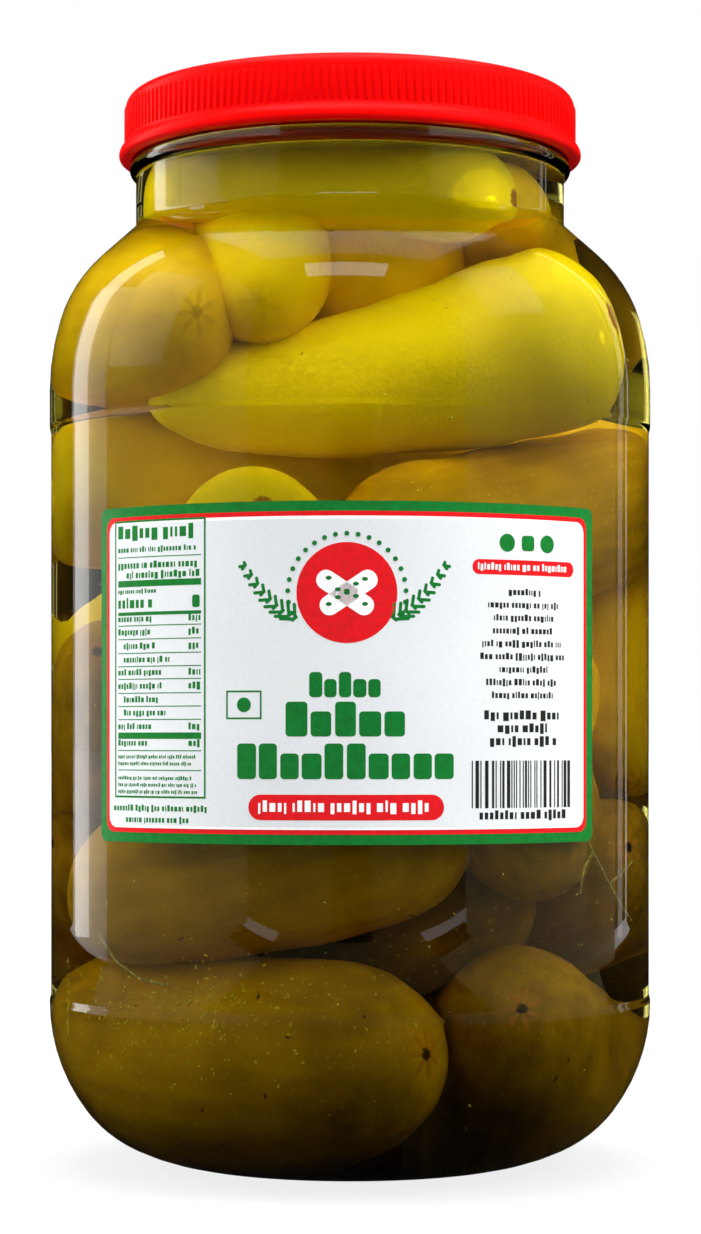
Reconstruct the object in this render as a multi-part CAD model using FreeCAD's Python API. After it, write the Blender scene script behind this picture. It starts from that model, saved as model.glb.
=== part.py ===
import FreeCAD, Part
import os
from math import cos, pi, radians, sin

# A one-gallon glass jar of whole pickles in brine, with a screw lid and a wrap label.
# Millimetres, +Z up. The origin is the middle of the base, at the height the jar stands on.
# The label faces -Y.

# Glass jar
body_radius = 75.9          # outside, above and below the label panel
wall = 3.0                  # glass thickness, the same all over
heel_reach = 40.9           # from the flat ring the jar stands on out to the body
bearing_width = 3.0
punt_turn = 16.0            # degrees that the raised middle of the base slopes up
punt_fillet = 5.0
heel_low_radius = 48.0      # the heel is three tangent arcs, from the base up
heel_mid_radius = 30.2
heel_low_turn = 25.7        # degrees
heel_mid_turn = 27.5
panel_low = 41.0            # height of the lower step into the label panel
panel_height = 144.5        # from the bottom of the lower step to the top of the upper one
step_radius = 3.0           # each step is two small arcs
step_turn = 20.0
shoulder_low_run = 8.8      # straight glass between the upper step and the shoulder
shoulder_low_radius = 61.0
shoulder_high_radius = 34.0
shoulder_low_turn = 17.0
shoulder_high_turn = 31.0
neck_radius = 54.2          # outside
neck_fillet = 2.5           # between shoulder and neck
neck_height = 13.6          # straight glass up to the middle of the bead
bead_radius = 2.0           # round ring of glass under the lid
bead_proud = 1.6            # how far the ring stands out of the neck
finish_height = 17.2        # from the middle of the bead to the rim
rim_round = 1.1             # rounding of the rim's outer edge

# Threads: one helical bead on the glass and one inside the lid, half a pitch lower
thread_pitch = 5.08
thread_turns = 1.2
thread_proud = 0.9          # radial height of a bead
thread_width = 2.2          # a bead's height at its root
thread_crest = 1.1          # and at its crest
thread_drop = 10.7          # from the rim down to the start of the glass thread
thread_clearance = 0.25     # radial gap between a bead's crest and the other piece
embed = 0.3                 # how far a bead's root goes into the piece that carries it

# Lid
lid_wall = 1.5
lid_gap = 0.3               # between the glass bead and the lid's lower edge
lid_edge = 1.2              # rounding of the lower edge
lid_corner = 3.4            # rounding between the top and the skirt
flare_out = 1.3             # how far the lower edge flares out beyond the ribs
flare_turn = 45.0
rib_count = 180
rib_proud = 0.35
rib_low = 4.6               # from the lid's lower edge to the ribs
rib_height = 8.4
rib_tooth = ((0.0, 0.0), (0.25, rib_proud), (0.6, rib_proud), (0.85, 0.0))    # share of the pitch, height
top_rim = 7.0               # flat band round the lid's sunk top
top_step_radius = 0.8
top_step_turn = 50.0

# Contents and label
headspace = 18.5            # from the brine's surface up to the rim
label_thickness = 0.15
label_height = 79.0
label_arc = 100.8           # degrees round the jar
label_turn = -1.0           # degrees from straight ahead to the label's middle
label_above_step = 41.6     # from the panel's lower step to the label
label_corner = 2.0


def arc_turn(radius, turn):
    """A tangent arc. A positive turn, in degrees, bends to the left."""
    return ("arc", radius, turn)


def run(length):
    return ("run", length, 0.0)


def trace(start, heading, moves, inset=0.0):
    """Edges along tangent moves in the XZ plane, set off to the left by inset, and the path's end."""
    x, z = start
    angle = radians(heading)
    edges = []

    def place(px, pz, direction):
        return FreeCAD.Vector(px - inset * sin(direction), 0, pz + inset * cos(direction))

    for kind, size, turn in moves:
        begin = place(x, z, angle)
        if kind == "run":
            x += size * cos(angle)
            z += size * sin(angle)
            edges.append(Part.LineSegment(begin, place(x, z, angle)).toShape())
            continue
        side = 1 if turn > 0 else -1
        centre_x = x - side * size * sin(angle)
        centre_z = z + side * size * cos(angle)
        stops = []
        for share in (0.5, 1.0):
            way = angle + radians(turn) * share
            stops.append((centre_x + side * size * sin(way), centre_z - side * size * cos(way), way))
        edges.append(Part.Arc(begin, place(*stops[0]), place(*stops[1])).toShape())
        x, z, angle = stops[1]
    return edges, (x, z)


def revolve_to_axis(edges):
    """Joins an open outline's two ends along the axis and turns it into a solid."""
    first = edges[0].firstVertex(True).Point
    last = edges[-1].lastVertex(True).Point
    corners = [last]
    for z, end in ((last.z, last), (first.z, first)):
        if abs(end.x) > 1e-6:
            corners.append(FreeCAD.Vector(0, 0, z))
    if abs(first.x) > 1e-6 or corners[-1].z != first.z:
        corners.append(first)
    sides = [Part.LineSegment(a, b).toShape() for a, b in zip(corners, corners[1:])]
    face = Part.Face(Part.Wire(Part.__sortEdges__(edges + sides)))
    return face.revolve(FreeCAD.Vector(0, 0, 0), FreeCAD.Vector(0, 0, 1), 360)


# Sizes that follow from the ones above
bearing_radius = body_radius - heel_reach     # outer edge of the flat ring
punt_radius = (bearing_radius - bearing_width) / sin(radians(punt_turn)) - punt_fillet
punt_height = (punt_radius + punt_fillet) * (1 - cos(radians(punt_turn)))
heel_turn = heel_low_turn + heel_mid_turn
heel_low_out = heel_low_radius * sin(radians(heel_low_turn))
heel_mid_out = heel_mid_radius * (sin(radians(heel_turn)) - sin(radians(heel_low_turn)))
heel_top_out = body_radius - bearing_radius - heel_low_out - heel_mid_out
heel_top_radius = heel_top_out / (1 - sin(radians(heel_turn)))
heel_low_rise = heel_low_radius * (1 - cos(radians(heel_low_turn)))
heel_mid_rise = heel_mid_radius * (cos(radians(heel_low_turn)) - cos(radians(heel_turn)))
heel_height = heel_low_rise + heel_mid_rise + heel_top_radius * cos(radians(heel_turn))
step_height = 2 * step_radius * sin(radians(step_turn))
step_depth = 2 * step_radius * (1 - cos(radians(step_turn)))
panel_radius = body_radius - step_depth
shoulder_turn = shoulder_low_turn + shoulder_high_turn
shoulder_low_in = shoulder_low_radius * (1 - cos(radians(shoulder_low_turn)))
shoulder_high_in = shoulder_high_radius * (cos(radians(shoulder_low_turn)) - cos(radians(shoulder_turn)))
fillet_in = neck_fillet * (1 - cos(radians(shoulder_turn)))
slope_in = body_radius - neck_radius - shoulder_low_in - shoulder_high_in - fillet_in

jar_start = (0.0, punt_height)
step_in = [arc_turn(step_radius, step_turn), arc_turn(step_radius, -step_turn)]
step_back = [arc_turn(step_radius, -step_turn), arc_turn(step_radius, step_turn)]
panel_moves = step_in + [run(panel_height - 2 * step_height)] + step_back
below_panel = [
    arc_turn(punt_radius, -punt_turn),
    arc_turn(punt_fillet, punt_turn),
    run(bearing_width),
    arc_turn(heel_low_radius, heel_low_turn),
    arc_turn(heel_mid_radius, heel_mid_turn),
    arc_turn(heel_top_radius, 90.0 - heel_turn),
    run(panel_low - heel_height),
]
above_panel = [
    run(shoulder_low_run),
    arc_turn(shoulder_low_radius, shoulder_low_turn),
    arc_turn(shoulder_high_radius, shoulder_high_turn),
    run(slope_in / sin(radians(shoulder_turn))),
    arc_turn(neck_fillet, -shoulder_turn),
    run(neck_height),
]
# The steps are only in the outer face: inside, the body is one straight bore.
outer_edges, bead_middle = trace(jar_start, 0.0, below_panel + panel_moves + above_panel)
inner_edges, _ = trace(jar_start, 0.0, below_panel + [run(panel_height)] + above_panel, wall)
bead_level = bead_middle[1]
rim_level = bead_level + finish_height
brine_level = rim_level - headspace
glass_thread_level = rim_level - thread_drop
lid_inner = neck_radius + thread_proud + thread_clearance
lid_outer = lid_inner + lid_wall
lid_bottom = bead_level + bead_radius + lid_gap
lid_top = rim_level + lid_wall
label_inner = panel_radius
label_bottom = panel_low + label_above_step


def thread(root_radius, level, outward):
    """A helical bead with sloping flanks, its root sunk a little into the piece that carries it."""
    side = 1 if outward else -1
    root = root_radius - side * embed
    crest = root_radius + side * thread_proud
    half = thread_width / 2
    flat = thread_crest / 2
    outline = [(root, -half), (crest, -flat), (crest, flat), (root, half), (root, -half)]
    profile = Part.makePolygon([FreeCAD.Vector(x, 0, level + z) for x, z in outline])
    spine = Part.makeHelix(thread_pitch, thread_pitch * thread_turns, root_radius)
    spine.translate(FreeCAD.Vector(0, 0, level))
    return Part.Wire(spine.Edges).makePipeShell([profile], True, True)


def make_hollow():
    """The space inside the glass, up to the rim."""
    return revolve_to_axis(inner_edges + trace(bead_middle, 90.0, [run(finish_height)], wall)[0])


def make_jar():
    """Blown glass: the outside less the hollow, with the bead and the thread added."""
    finish = [run(finish_height - rim_round), arc_turn(rim_round, 90.0)]
    outside = revolve_to_axis(outer_edges + trace(bead_middle, 90.0, finish)[0])
    bead_centre = FreeCAD.Vector(0, 0, bead_level)
    bead = Part.makeTorus(neck_radius + bead_proud - bead_radius, bead_radius, bead_centre)
    glass = outside.fuse(bead).fuse(thread(neck_radius, glass_thread_level, True))
    return glass.cut(make_hollow())


def make_brine():
    """The brine with all that is sunk in it: the jar's hollow up to the fill level."""
    return make_hollow().common(Part.makeCylinder(body_radius, brine_level))


def make_ribs():
    """A ring with upright ribs round it, as a toothed outline pulled up."""
    pitch = 2 * pi / rib_count
    corners = []
    for rib in range(rib_count):
        for share, height in rib_tooth:
            reach = lid_outer + height
            angle = (rib + share) * pitch
            corners.append(FreeCAD.Vector(reach * cos(angle), reach * sin(angle), lid_bottom + rib_low))
    ring = Part.Face(Part.makePolygon(corners + corners[:1])).extrude(FreeCAD.Vector(0, 0, rib_height))
    skirt_middle = lid_outer - lid_wall / 2
    return ring.cut(Part.makeCylinder(skirt_middle, rib_height, FreeCAD.Vector(0, 0, lid_bottom + rib_low)))


def make_lid():
    """Moulded screw lid: ribbed skirt with a flared lower edge, and a shallow sunk top."""
    lip = flare_out + rib_proud
    flare_radius = lip / (2 * (1 - cos(radians(flare_turn))))
    flare_height = 2 * flare_radius * sin(radians(flare_turn))
    skirt = lid_top - lid_bottom - lid_edge - flare_height - lid_corner
    step_out = 2 * top_step_radius * sin(radians(top_step_turn))
    outline = [
        run(lid_wall + lip - lid_edge),
        arc_turn(lid_edge, 90.0),
        arc_turn(flare_radius, flare_turn),
        arc_turn(flare_radius, -flare_turn),
        run(skirt),
        arc_turn(lid_corner, 90.0),
        run(top_rim - lid_corner),
        arc_turn(top_step_radius, top_step_turn),
        arc_turn(top_step_radius, -top_step_turn),
        run(lid_outer - top_rim - step_out),
    ]
    shell = revolve_to_axis(trace((lid_inner, lid_bottom), 0.0, outline)[0])
    hollow = Part.makeCylinder(lid_inner, rim_level, FreeCAD.Vector(0, 0, 0))
    shell = shell.cut(hollow)
    bead = thread(lid_inner, glass_thread_level - thread_pitch / 2, False)
    return shell.fuse(make_ribs()).fuse(bead)


def corner_waste(level, up, side):
    """What a rounded corner takes off the label, for a corner lying along +X."""
    reach = label_corner + embed
    aside = -max(side * label_corner, embed)
    below = level - max(-up * label_corner, embed)
    low = FreeCAD.Vector(label_inner - embed, aside, below)
    block = Part.makeBox(label_thickness + 2 * embed, reach, reach, low)
    centre = FreeCAD.Vector(low.x, -side * label_corner, level + up * label_corner)
    return block.cut(Part.makeCylinder(label_corner, block.BoundBox.XLength, centre, FreeCAD.Vector(1, 0, 0)))


def make_label():
    """A thin label that follows the panel, with rounded corners."""
    start = -90.0 + label_turn - label_arc / 2
    base = FreeCAD.Vector(0, 0, label_bottom)
    up = FreeCAD.Vector(0, 0, 1)
    sheet = Part.makeCylinder(label_inner + label_thickness, label_height, base, up, label_arc)
    sheet = sheet.cut(Part.makeCylinder(label_inner, label_height, base))
    for level, rise in ((label_bottom, 1), (label_bottom + label_height, -1)):
        for angle, side in ((0.0, -1), (label_arc, 1)):
            waste = corner_waste(level, rise, side)
            waste.rotate(FreeCAD.Vector(0, 0, 0), up, angle)
            sheet = sheet.cut(waste)
    sheet.rotate(FreeCAD.Vector(0, 0, 0), up, start)
    return sheet


os.makedirs("parts", exist_ok=True)
pieces = {
    "glass_jar": make_jar(),
    "screw_lid": make_lid(),
    "brine": make_brine(),
    "label": make_label(),
}
for name, shape in pieces.items():
    solids = shape.Solids
    print(name, len(solids), shape.isValid(), round(shape.Volume / 1000, 1), "cm3", shape.BoundBox)
    solids[0].exportStep(f"parts/{name}.step")
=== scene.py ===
import math
import random
import bpy
import numpy as np
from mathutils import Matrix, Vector


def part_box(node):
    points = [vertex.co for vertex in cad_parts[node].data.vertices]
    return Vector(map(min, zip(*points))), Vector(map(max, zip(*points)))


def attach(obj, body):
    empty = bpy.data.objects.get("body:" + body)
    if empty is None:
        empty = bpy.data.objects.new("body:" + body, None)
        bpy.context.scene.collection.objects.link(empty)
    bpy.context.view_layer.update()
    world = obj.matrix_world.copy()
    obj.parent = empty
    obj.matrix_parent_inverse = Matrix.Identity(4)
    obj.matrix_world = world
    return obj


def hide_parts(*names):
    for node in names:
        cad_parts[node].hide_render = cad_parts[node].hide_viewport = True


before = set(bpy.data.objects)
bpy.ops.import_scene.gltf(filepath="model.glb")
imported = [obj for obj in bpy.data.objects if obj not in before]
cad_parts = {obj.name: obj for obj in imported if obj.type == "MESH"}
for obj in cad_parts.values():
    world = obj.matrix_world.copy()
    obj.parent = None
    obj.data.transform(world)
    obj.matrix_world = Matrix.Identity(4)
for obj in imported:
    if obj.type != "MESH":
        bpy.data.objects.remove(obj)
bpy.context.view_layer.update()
mm = 0.001


def clearSelection():
    # Operators act on all that is selected, so nothing is left selected first.
    if bpy.context.object and bpy.context.object.mode != "OBJECT":
        bpy.ops.object.mode_set(mode="OBJECT")
    bpy.ops.object.select_all(action="DESELECT")


def pick(pieces):
    clearSelection()
    for piece in pieces:
        piece.select_set(True)
    bpy.context.view_layer.objects.active = pieces[0]


def joinPieces(name, pieces):
    pick(pieces)
    if len(pieces) > 1:
        bpy.ops.object.join()
    joined = bpy.context.object
    joined.name = name
    joined.data.name = name
    return joined


def applyModifiers(piece):
    pick([piece])
    for modifier in list(piece.modifiers):
        bpy.ops.object.modifier_apply(modifier=modifier.name)
    return piece


def settle(piece):
    # The place, turn and scale go into the mesh, and the object stays at the origin.
    pick([piece])
    bpy.ops.object.transform_apply(location=True, rotation=True, scale=True)
    return piece


def smooth(piece, degrees=180):
    pick([piece])
    bpy.ops.object.shade_smooth_by_angle(angle=math.radians(degrees))
    return piece


def finishPiece(piece, material, node=None):
    # Gives a piece its material, and says what it stands for in the frame.
    piece.data.materials.clear()
    piece.data.materials.append(material)
    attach(piece, "root")
    if node:
        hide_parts(node)
    print("made", piece.name, len(piece.data.polygons), "faces")


def linear(hexColour):
    values = [int(hexColour[i:i + 2], 16) / 255 for i in (1, 3, 5)]
    return [v / 12.92 if v <= 0.04045 else ((v + 0.055) / 1.055) ** 2.4 for v in values] + [1.0]


def newMaterial(name):
    material = bpy.data.materials.new(name)
    material.use_nodes = True
    material.node_tree.nodes.clear()
    return material, material.node_tree


def addNode(tree, kind, settings=None, links=None):
    node = tree.nodes.new(kind)
    for key, value in (settings or {}).items():
        if isinstance(key, int) or key in node.inputs:
            node.inputs[key].default_value = value
        else:
            setattr(node, key, value)
    for key, source in (links or {}).items():
        tree.links.new(source, node.inputs[key])
    return node


def addMath(tree, operation, *terms):
    # Each term is a number or the output of another node.
    node = addNode(tree, "ShaderNodeMath", {"operation": operation})
    for slot, term in enumerate(terms):
        if isinstance(term, (int, float)):
            node.inputs[slot].default_value = term
        else:
            tree.links.new(term, node.inputs[slot])
    return node.outputs[0]


def addSpan(tree, source, low, high, newLow=0.0, newHigh=1.0):
    # What runs from low to high comes out from newLow to newHigh, and stays level beyond.
    return addNode(tree, "ShaderNodeMapRange", {
        "From Min": low, "From Max": high, "To Min": newLow, "To Max": newHigh},
        {"Value": source}).outputs["Result"]


def addNoise(tree, place, grain, detail):
    # grain is the size of the blotches, in the units of the place.
    return addNode(tree, "ShaderNodeTexNoise", {"Scale": 1 / grain, "Detail": detail},
                   {"Vector": place}).outputs["Fac"]


def addBump(tree, height, strength, depth):
    return addNode(tree, "ShaderNodeBump", {"Strength": strength, "Distance": depth * mm},
                   {"Height": height}).outputs[0]


def placeOnPiece(tree):
    return addNode(tree, "ShaderNodeTexCoord").outputs["Object"]


def addOutput(tree, surface, kind="Material", **others):
    links = {"Surface": surface.outputs[0], **others}
    addNode(tree, "ShaderNodeOutput" + kind, links=links)


def addRamp(tree, source, stops):
    # stops are (position, value or colour)
    ramp = addNode(tree, "ShaderNodeValToRGB", links={"Fac": source})
    bands = ramp.color_ramp.elements
    while len(bands) < len(stops):
        bands.new(0.5)
    for band, (position, value) in zip(bands, stops):
        band.position = position
        band.color = value if isinstance(value, list) else (value, value, value, 1)
    return ramp.outputs["Color"]


studio = {
    "eyeHeight": 107.4,       # mm, level with the label's lower half
    "cameraDistance": 774.7,  # mm from the jar's axis
    "lens": 88.98,            # mm on a 36 mm sensor
    "riseShift": 0.0972,      # shows more above the eye than below it
    "sideShift": 0.0004,
    "worldLight": 0.72,       # what matt surfaces get; cameras, mirrors and glass see 1
    "floorGlow": 0.6,
}


def makeCamera():
    clearSelection()
    bpy.ops.object.camera_add(
        location=(0, -studio["cameraDistance"] * mm, studio["eyeHeight"] * mm),
        rotation=(math.radians(90), 0, 0))
    camera = bpy.context.object
    camera.data.lens = studio["lens"]
    camera.data.sensor_width = 36
    camera.data.shift_x = studio["sideShift"]
    camera.data.shift_y = studio["riseShift"]
    bpy.context.scene.camera = camera


def addSoftbox(name, place, aim, width, height, glow, mirrored=True):
    # glow is how bright the box's face looks, so its power follows from its area.
    # One that isn't mirrored lights the jar softly and leaves no glint on the glass.
    clearSelection()
    bpy.ops.object.light_add(type="AREA", location=[v * mm for v in place])
    lamp = bpy.context.object
    lamp.name = name
    lamp.data.shape = "RECTANGLE"
    lamp.data.size = width * mm
    lamp.data.size_y = height * mm
    lamp.data.energy = glow * math.pi * width * height * mm * mm
    way = Vector(aim) - Vector(place)
    lamp.rotation_euler = way.to_track_quat("-Z", "Y").to_euler()
    lamp.visible_camera = False
    lamp.visible_glossy = mirrored


def addCard(name, material, place, aim, width, height, seenThroughGlass=False):
    # A card that only mirrors see, and glass where it says so.
    clearSelection()
    way = Vector(aim) - Vector(place)
    bpy.ops.mesh.primitive_plane_add(
        size=1, location=[v * mm for v in place], rotation=way.to_track_quat("-Z", "Y").to_euler())
    card = bpy.context.object
    card.name = name
    card.scale = (width * mm, height * mm, 1)
    settle(card)
    card.data.materials.append(material)
    card.visible_camera = False
    card.visible_diffuse = False
    card.visible_shadow = False
    card.visible_transmission = seenThroughGlass


def makeCardPaper(name, colour, glow):
    # Studio card, evenly lit: its glow is what a mirror shows of it.
    material, tree = newMaterial(name)
    lit = addNode(tree, "ShaderNodeEmission", {"Color": linear(colour), "Strength": glow})
    addOutput(tree, lit)
    return material


def brightToEyes(tree):
    # 1 for camera, mirror and glass rays, and 0 for the light that falls on matt surfaces
    path = addNode(tree, "ShaderNodeLightPath")
    seen = addMath(tree, "MAXIMUM", path.outputs["Is Camera Ray"], path.outputs["Is Glossy Ray"])
    return addMath(tree, "MAXIMUM", seen, path.outputs["Is Transmission Ray"])


def makeWorld():
    world = bpy.data.worlds.new("paleStudio")
    bpy.context.scene.world = world
    world.use_nodes = True
    tree = world.node_tree
    tree.nodes.clear()
    level = addSpan(tree, brightToEyes(tree), 0.0, 1.0, studio["worldLight"], 1.0)
    backdrop = addNode(tree, "ShaderNodeBackground", {"Color": (1, 1, 1, 1)}, {"Strength": level})
    addOutput(tree, backdrop, "World")


def makeFloor():
    clearSelection()
    bpy.ops.mesh.primitive_plane_add(size=40, location=(0, 0, 0))
    floor = bpy.context.object
    floor.name = "floor"
    material, tree = newMaterial("paleTable")
    far = addNode(tree, "ShaderNodeVectorMath", {"operation": "LENGTH"},
                  {0: placeOnPiece(tree)}).outputs["Value"]
    glow = addSpan(tree, far, 0.4, 2.0, studio["floorGlow"], 1.0)
    matt = addNode(tree, "ShaderNodeBsdfDiffuse", {"Color": linear("#747474")})
    white = addNode(tree, "ShaderNodeEmission", {"Color": (1, 1, 1, 1), "Strength": 1.38})
    share = addMath(tree, "MULTIPLY", brightToEyes(tree), glow)
    mix = addNode(tree, "ShaderNodeMixShader", links={0: share, 1: matt.outputs[0], 2: white.outputs[0]})
    addOutput(tree, mix)
    floor.data.materials.append(material)


softboxes = {                       # place, aim, width and height in mm, glow, shows in mirrors
    "overheadSoftbox": ((0, 120, 1350), (0, 0, 240), 1100, 1100, 15.0, False),
    "frontTopSoftbox": ((-20, -600, 950), (0, -70, 215), 420, 200, 3.2),
    "leftSoftbox": ((-820, 452, 600), (0, 0, 600), 188, 1200, 2.4),
    "rightSoftbox": ((807, 472, 600), (0, 0, 600), 60, 1200, 0.8),
    "keySoftbox": ((760, -640, 700), (0, 0, 170), 520, 520, 2.2, False),
    "leftFill": ((-900, -20, 640), (0, 0, 170), 520, 620, 9.0, False),
    "rightFill": ((720, -260, 800), (0, 0, 200), 440, 440, 14.0, False),
}
cardPapers = {                      # colour and glow
    "blackVelvet": ("#FFFFFF", 0.004),
    "dimWarmCard": ("#F0E0A8", 0.14),
    "warmGreyCard": ("#F2E2B0", 0.40),
}
cards = {                           # paper, place, aim, width and height in mm, seen through glass
    "cameraSideCard": ("dimWarmCard", (73, -950, 390), (73, 0, 390), 1597, 780, True),
    "cameraStandCard": ("blackVelvet", (7, -940, 140), (7, 0, 140), 235, 280),
    "leftSideCard": ("warmGreyCard", (-700, -400, 490), (0, -400, 490), 1040, 980),
    "rightSideCard": ("warmGreyCard", (700, -221, 490), (0, -221, 490), 1097, 980),
    "backCard": ("blackVelvet", (0, 640, 700), (0, 0, 700), 1700, 1400, True),
    "rightFlag": ("blackVelvet", (900, 395, 500), (0, 395, 500), 500, 1000, True),
    "ceilingCard": ("blackVelvet", (0, -100, 1500), (0, -100, 0), 4000, 4000),
    "tableCard": ("blackVelvet", (0, -100, 1), (0, -100, -10), 1500, 1500, True),
    "leftTableCard": ("warmGreyCard", (-565, -270, 2), (-565, -270, -10), 270, 860),
    "rightTableCard": ("warmGreyCard", (565, -270, 2), (565, -270, -10), 270, 860),
    "frontTableCard": ("dimWarmCard", (0, -750, 2), (0, -750, -10), 860, 380),
}

makeCamera()
makeWorld()
makeFloor()
papers = {name: makeCardPaper(name, *look) for name, look in cardPapers.items()}
for name, values in softboxes.items():
    addSoftbox(name, *values)
for name, (paper, *values) in cards.items():
    addCard(name, papers[paper], *values)
bpy.context.scene.view_settings.view_transform = "Standard"
print("studio done")


jar = {                             # mm and degrees
    "wall": 3.0,
    "bearingRadius": 35.0,
    "bearing": 3.0,                 # width of the ring it stands on
    "puntFillet": 5.0,
    "puntTurn": 16.0,
    "heel": ((48.0, 25.7), (30.2, 27.5)),
    "panelLow": 41.0,
    "panelHeight": 144.5,
    "step": (3.0, 20.0),
    "shoulderRun": 8.8,
    "shoulder": ((61.0, 17.0), (34.0, 31.0)),
    "neckRadius": 54.2,
    "neckFillet": 2.5,
    "neckHeight": 13.6,
    "bead": (2.0, 1.6),             # radius, and how far it stands out
    "finishHeight": 17.2,
    "rimRound": 1.1,
    "brineReach": 0.2,              # how far the brine goes into the wall, so that no air shows
    "meniscus": 1.2,
    "spinSteps": 168,
}


def walk(start, heading, moves, inset=0.0, fine=5.0):
    # Points along straight runs and tangent arcs, set off to the left by inset.
    x, z = start
    way = math.radians(heading)
    points = [(x - inset * math.sin(way), z + inset * math.cos(way))]
    for size, turn in moves:
        if turn == 0:
            # a long run gets a short piece at each end, which keeps it flat under smooth shading
            pieces = (1.0, size - 2.0, 1.0) if size > 8 else (size,)
            for piece in pieces:
                x += piece * math.cos(way)
                z += piece * math.sin(way)
                points.append((x - inset * math.sin(way), z + inset * math.cos(way)))
            continue
        side = math.copysign(1, turn)
        middleX = x - side * size * math.sin(way)
        middleZ = z + side * size * math.cos(way)
        parts = max(3, round(abs(turn) / fine))
        for part in range(parts):
            way += math.radians(turn) / parts
            x = middleX + side * size * math.sin(way)
            z = middleZ - side * size * math.cos(way)
            points.append((x - inset * math.sin(way), z + inset * math.cos(way)))
    return points, (x, z)


def turnOnLathe(name, outline, steps):
    # A corner is pulled along the outline, and the line is spun about the axis.
    clearSelection()
    bpy.ops.mesh.primitive_plane_add(size=mm, location=(0, 0, 0))
    piece = bpy.context.object
    piece.name = name
    bpy.ops.object.mode_set(mode="EDIT")
    bpy.ops.mesh.merge(type="CENTER")
    x, z = outline[0]
    bpy.ops.transform.translate(value=(x * mm, 0, z * mm))
    for nextX, nextZ in outline[1:]:
        bpy.ops.mesh.extrude_vertices_move(
            TRANSFORM_OT_translate={"value": ((nextX - x) * mm, 0, (nextZ - z) * mm)})
        x, z = nextX, nextZ
    bpy.ops.mesh.select_all(action="SELECT")
    bpy.ops.mesh.spin(steps=steps, angle=2 * math.pi, center=(0, 0, 0), axis=(0, 0, 1))
    bpy.ops.mesh.select_all(action="SELECT")
    bpy.ops.mesh.remove_doubles(threshold=0.004 * mm)
    bpy.ops.mesh.normals_make_consistent(inside=False)
    bpy.ops.object.mode_set(mode="OBJECT")
    return piece


def rise(turnFrom, turnTo):
    return math.sin(math.radians(turnTo)) - math.sin(math.radians(turnFrom))


def fall(turnFrom, turnTo):
    return math.cos(math.radians(turnFrom)) - math.cos(math.radians(turnTo))


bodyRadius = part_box("glass_jar")[1].x / mm
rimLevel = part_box("glass_jar")[1].z / mm
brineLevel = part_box("brine")[1].z / mm
beadLevel = rimLevel - jar["finishHeight"]
(heelLow, lowTurn), (heelMid, midTurn) = jar["heel"]
heelTurn = lowTurn + midTurn
heelOut = heelLow * rise(0, lowTurn) + heelMid * rise(lowTurn, heelTurn)
heelTop = (bodyRadius - jar["bearingRadius"] - heelOut) / rise(heelTurn, 90)
heelHeight = heelLow * fall(0, lowTurn) + heelMid * fall(lowTurn, heelTurn) + heelTop * fall(heelTurn, 90)
stepRadius, stepTurn = jar["step"]
stepRise = 2 * stepRadius * rise(0, stepTurn)
panelRadius = bodyRadius - 2 * stepRadius * fall(0, stepTurn)
(shoulderLow, shoulderLowTurn), (shoulderHigh, shoulderHighTurn) = jar["shoulder"]
shoulderTurn = shoulderLowTurn + shoulderHighTurn
slopeIn = (bodyRadius - jar["neckRadius"] - shoulderLow * fall(0, shoulderLowTurn)
           - shoulderHigh * fall(shoulderLowTurn, shoulderTurn) - jar["neckFillet"] * fall(0, shoulderTurn))
puntRadius = (jar["bearingRadius"] - jar["bearing"]) / rise(0, jar["puntTurn"]) - jar["puntFillet"]
puntHeight = (puntRadius + jar["puntFillet"]) * fall(0, jar["puntTurn"])

lowMoves = [
    (puntRadius, -jar["puntTurn"]), (jar["puntFillet"], jar["puntTurn"]), (jar["bearing"], 0),
    (heelLow, lowTurn), (heelMid, midTurn), (heelTop, 90 - heelTurn), (jar["panelLow"] - heelHeight, 0)]
panelMoves = [
    (stepRadius, stepTurn), (stepRadius, -stepTurn), (jar["panelHeight"] - 2 * stepRise, 0),
    (stepRadius, -stepTurn), (stepRadius, stepTurn)]
shoulderMoves = [
    (jar["shoulderRun"], 0), (shoulderLow, shoulderLowTurn), (shoulderHigh, shoulderHighTurn),
    (slopeIn / rise(0, shoulderTurn), 0), (jar["neckFillet"], -shoulderTurn)]
neckMoves = [(jar["neckHeight"], 0)]
insideMoves = lowMoves + [(jar["panelHeight"], 0)] + shoulderMoves + neckMoves


def insideOutline(inset):
    return walk((0, puntHeight), 0, insideMoves, inset)[0]


def makeGlassMaterial(name, mirrorTint):
    # Soda-lime glass, blown in a mould: clear, with slow ripples and a few fine dust grains.
    # Where brine wets the inside, the joint hardly mirrors, so mirrorTint is dark there.
    material, tree = newMaterial(name)
    place = placeOnPiece(tree)
    long = addNode(tree, "ShaderNodeMapping", {"Scale": (1, 1, 0.35)}, {"Vector": place})
    slow = addBump(tree, addNoise(tree, long.outputs[0], 0.022, 2.0), 0.35, 0.10)
    smear = addRamp(tree, addNoise(tree, place, 0.0012, 3.0), [(0.55, 0.0), (0.75, 0.05)])
    glass = addNode(tree, "ShaderNodeBsdfPrincipled", {
        "Base Color": linear("#FCFCF6"), "Transmission Weight": 1.0, "IOR": 1.5,
        "Specular Tint": linear(mirrorTint)},
        {"Normal": slow, "Roughness": smear})
    addOutput(tree, glass)
    return material


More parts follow.
